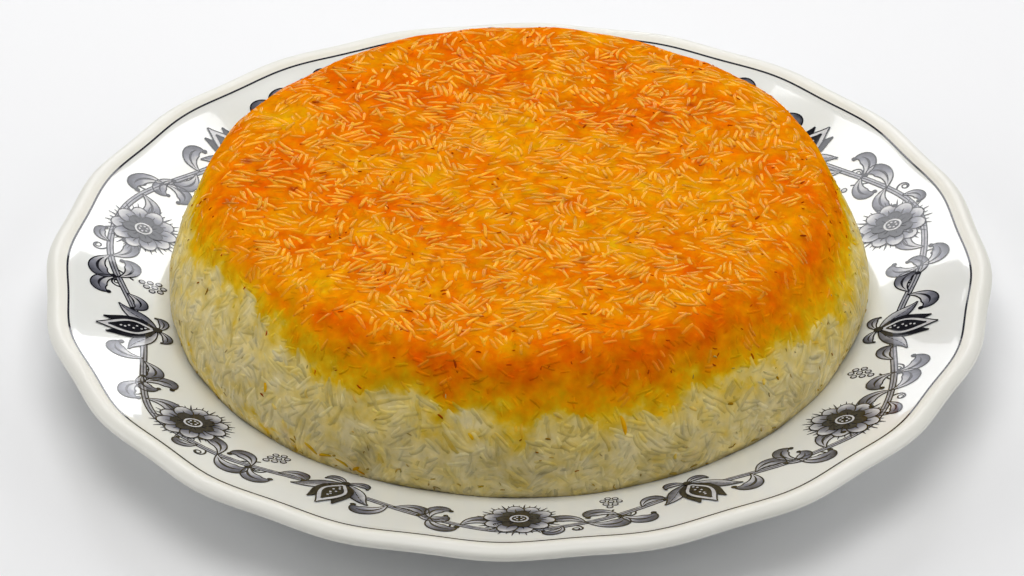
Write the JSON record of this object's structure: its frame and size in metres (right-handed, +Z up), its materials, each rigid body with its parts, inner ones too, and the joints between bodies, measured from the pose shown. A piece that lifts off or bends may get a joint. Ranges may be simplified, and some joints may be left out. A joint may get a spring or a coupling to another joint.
{
  "type": "plate of tahdig",
  "caption": "Round moulded rice cake, white below a saffron crust, turned out on a wide porcelain plate with a scalloped rim.",
  "frame": {"origin": "on the table under the middle of the plate: the centre of the underside of the whole part's box", "axes": "+Z up out of the table; -Y is the side that faces the viewer; +X to the viewer's right"},
  "size_m": [0.2986, 0.2986, 0.0549],
  "materials": {
    "china": "cream-white glazed porcelain with a printed border of grey and blue-black scrolls and a fine dark line",
    "white_rice": "pressed cooked long-grain rice, moist satin",
    "saffron_crust": "oily saffron crust of flat-lying long grains, glossy"
  },
  "bodies": {
    "root": {"plate": "china", "white_rice": "white_rice", "saffron_rice": "saffron_crust"}
  },
  "joints": []
}
